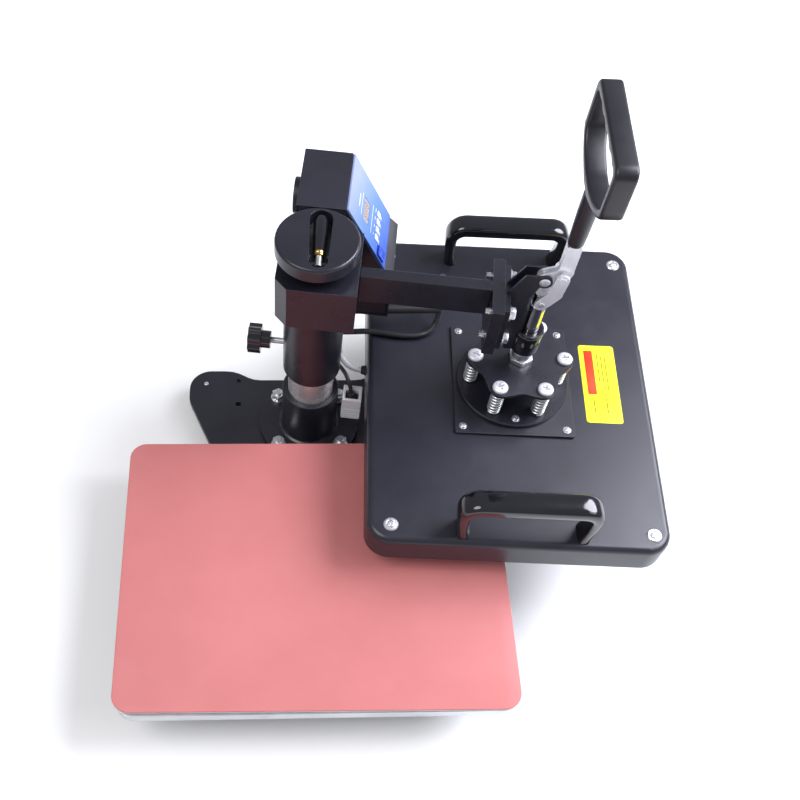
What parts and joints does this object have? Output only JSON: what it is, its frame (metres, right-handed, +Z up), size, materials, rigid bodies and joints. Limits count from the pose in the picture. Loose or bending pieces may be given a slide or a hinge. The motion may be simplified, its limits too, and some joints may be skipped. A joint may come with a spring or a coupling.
{
  "type": "swing-away heat press",
  "caption": "Swing-away heat press: column head with handwheel height setting, toggle lever, sprung heated platen and padded lower platen.",
  "frame": {"origin": "middle of the bounding box in plan, on the bench the feet stand on", "axes": "+Z up; the operator stands at -Y and faces +Y; +X to the operator's right, the side the head is swung to"},
  "size_m": [0.5454, 0.5248, 0.466],
  "materials": {
    "black_paint": "satin powder coat",
    "gloss_black": "glossy moulding",
    "black_rubber": "matt",
    "chrome": "polished",
    "zinc_steel": "bright zinc",
    "aluminium": "machined",
    "brass": "turned",
    "pink_silicone": "matt silicone",
    "blue_panel": "printed film",
    "blue_rocker": "gloss",
    "white_plastic": "satin",
    "white_sleeve": "braided glass sleeve",
    "fibre": "soft fibre blanket"
  },
  "bodies": {
    "base": {"base_plate": "black_paint", "foot_rear_left": "black_rubber", "foot_rear_right": "black_rubber", "foot_front_left": "black_rubber", "foot_front_right": "black_rubber", "column_socket": "black_paint", "post": "chrome", "platen_stand": "black_paint", "lower_platen": "aluminium", "silicone_pad": "pink_silicone"},
    "carriage": {"guide_bush": "brass"},
    "head": {"head_sleeve": "black_paint", "head_box": "black_paint", "swing_arm": "black_paint", "end_plate": "black_paint", "clamp_frame": "black_paint", "frame_pin": "zinc_steel", "thrust_washer": "brass", "control_housing": "black_paint", "control_lid": "black_paint", "control_panel": "blue_panel", "mains_inlet": "gloss_black", "auxiliary_socket": "black_paint", "platen_cable": "black_rubber", "heater_lead": "white_sleeve", "sensor_lead": "black_rubber", "lead_connector": "white_plastic"},
    "wheel": {"handwheel": "black_paint", "lead_screw": "zinc_steel"},
    "crank": {"crank_grip": "gloss_black"},
    "lock_tip": {"lock_pad": "brass"},
    "lock_knob": {"lock_knob": "gloss_black"},
    "ram": {"plunger": "chrome", "ram_pin": "zinc_steel", "star_plate": "black_paint", "ring_nut": "zinc_steel", "spring_1": "zinc_steel", "spring_2": "zinc_steel", "spring_3": "zinc_steel", "spring_4": "zinc_steel", "spring_5": "zinc_steel", "spring_6": "zinc_steel"},
    "link": {"toggle_link": "zinc_steel"},
    "lever": {"toggle_lever": "zinc_steel", "lever_pin": "zinc_steel", "lever_sleeve": "black_rubber", "ring_grip": "gloss_black"},
    "platen": {"pressure_disc": "black_paint", "mounting_plate": "black_paint", "platen_cover": "black_paint", "heat_plate": "aluminium", "insulation_blanket": "fibre", "handle_front": "gloss_black", "handle_rear": "gloss_black", "cable_gland": "black_rubber"},
    "rocker": {"power_rocker": "blue_rocker"},
    "key_1": {"key_1": "white_plastic"},
    "key_2": {"key_2": "white_plastic"},
    "key_3": {"key_3": "white_plastic"},
    "key_4": {"key_4": "white_plastic"}
  },
  "joints": [
    {"name": "handwheel_turn", "type": "hinge", "parent": "head", "child": "wheel", "pos_m": [-0.08269, 0.09077, 0.308], "axis": [0, 0, 1], "range_deg": [-2160, 3000]},
    {"name": "lift", "type": "slide", "parent": "base", "child": "carriage", "axis": [0, 0, 1], "range_m": [-0.018, 0.025]},
    {"name": "swing", "type": "hinge", "parent": "carriage", "child": "head", "pos_m": [-0.08269, 0.09077, 0.2], "axis": [0, 0, 1], "range_deg": [-82.3, 12]},
    {"name": "crank_fold", "type": "hinge", "parent": "wheel", "child": "crank", "pos_m": [-0.08274, 0.06569, 0.31], "axis": [0.9966, -0.0819, 0], "range_deg": [0, 90]},
    {"name": "lock_knob_turn", "type": "hinge", "parent": "lock_tip", "child": "lock_knob", "pos_m": [-0.14016, 0.09854, 0.168], "axis": [-0.991, 0.134, 0], "range_deg": [0, 720]},
    {"name": "lock_travel", "type": "slide", "parent": "head", "child": "lock_tip", "axis": [-0.991, 0.134, 0], "range_m": [0, 0.0025]},
    {"name": "press_stroke", "type": "slide", "parent": "head", "child": "ram", "axis": [0, 0, -1], "range_m": [0, 0.024], "deforming": ["platen_cable", "heater_lead"]},
    {"name": "lever_swing", "type": "hinge", "parent": "head", "child": "lever", "pos_m": [0.11898, 0.06351, 0.297], "axis": [0.134, 0.991, 0], "range_deg": [0, 113]},
    {"name": "link_swing", "type": "hinge", "parent": "ram", "child": "link", "pos_m": [0.12175, 0.06313, 0.2705], "axis": [0.134, 0.991, 0], "range_deg": [-21.7, 0]},
    {"name": "platen_float", "type": "slide", "parent": "ram", "child": "platen", "axis": [0, 0, 1], "range_m": [0, 0.004], "stiffness_N_per_m": 30000, "springref_m": -0.003, "deforming": ["spring_1", "spring_2", "spring_3", "spring_4", "spring_5", "spring_6", "platen_cable", "heater_lead"]},
    {"name": "power_rocker_tilt", "type": "hinge", "parent": "head", "child": "rocker", "pos_m": [-0.01993, 0.13037, 0.25464], "axis": [0.134, 0.991, 0], "range_deg": [-8, 8]},
    {"name": "key_1_press", "type": "slide", "parent": "head", "child": "key_1", "axis": [-0.8693, 0.1175, -0.4801], "range_m": [0, 0.0006], "stiffness_N_per_m": 300, "springref_m": -0.0006},
    {"name": "key_2_press", "type": "slide", "parent": "head", "child": "key_2", "axis": [-0.8693, 0.1175, -0.4801], "range_m": [0, 0.0006], "stiffness_N_per_m": 300, "springref_m": -0.0006},
    {"name": "key_3_press", "type": "slide", "parent": "head", "child": "key_3", "axis": [-0.8693, 0.1175, -0.4801], "range_m": [0, 0.0006], "stiffness_N_per_m": 300, "springref_m": -0.0006},
    {"name": "key_4_press", "type": "slide", "parent": "head", "child": "key_4", "axis": [-0.8693, 0.1175, -0.4801], "range_m": [0, 0.0006], "stiffness_N_per_m": 300, "springref_m": -0.0006}
  ],
  "couplings": [
    {"joint": "lift", "follows": "handwheel_turn", "m_per_rad": 0.00047746},
    {"joint": "lock_travel", "follows": "lock_knob_turn", "m_per_rad": 0.00019894},
    {"joint": "lever_swing", "follows": "press_stroke", "rad_per_m": 82.031},
    {"joint": "link_swing", "follows": "press_stroke", "rad_per_m": -15.708}
  ]
}
